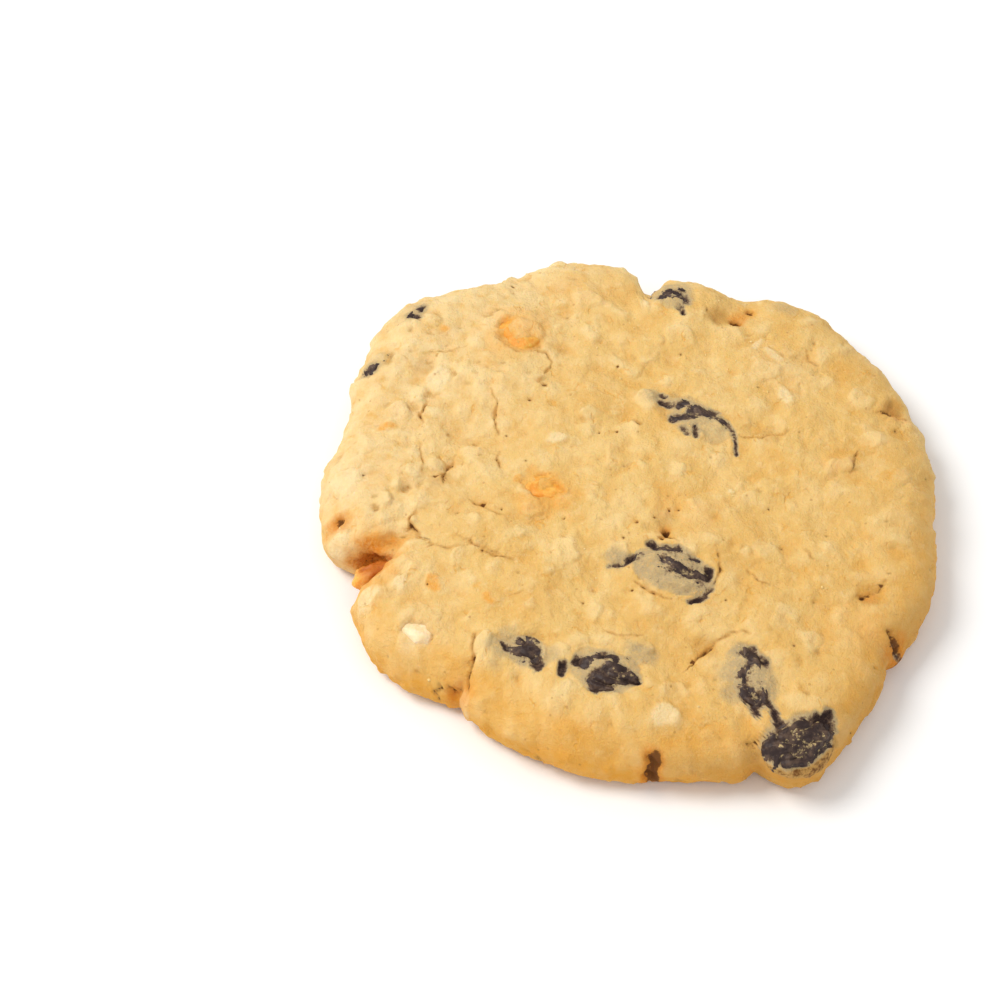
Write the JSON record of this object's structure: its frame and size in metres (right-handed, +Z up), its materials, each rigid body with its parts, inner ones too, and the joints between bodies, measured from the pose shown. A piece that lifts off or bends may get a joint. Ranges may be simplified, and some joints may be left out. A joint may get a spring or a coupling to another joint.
{
  "type": "oatmeal raisin cookie",
  "caption": "Baked oat cookie with an uneven round outline, raisins and dried apricot sunk in its lumpy top, and a flat base to rest on.",
  "frame": {"origin": "centre of the flat base, under the middle of the cookie's box", "axes": "+Z up out of the base through the fruited top, +X to the side with the thinner brown rim, -Y towards the rim that carries the most exposed raisin"},
  "size_m": [0.0816, 0.0834, 0.012],
  "materials": {
    "baked_dough": "matt, pale golden baked oat dough, browner at its rim and base",
    "raisin": "wrinkled purple-black skin with a low sheen, partly floured with dough",
    "apricot": "soft orange dried fruit, slightly translucent",
    "nut": "pale cream, matt"
  },
  "bodies": {
    "root": {"dough": "baked_dough", "raisin_middle": "raisin", "raisin_upper": "raisin", "raisin_front_left": "raisin", "raisin_front": "raisin", "raisin_front_right": "raisin", "raisin_lobe": "raisin", "raisin_back_edge": "raisin", "raisin_back_left": "raisin", "raisin_left_edge": "raisin", "raisin_right_edge": "raisin", "apricot_back": "apricot", "apricot_middle": "apricot", "apricot_edge": "apricot", "nut_left": "nut"}
  },
  "joints": []
}
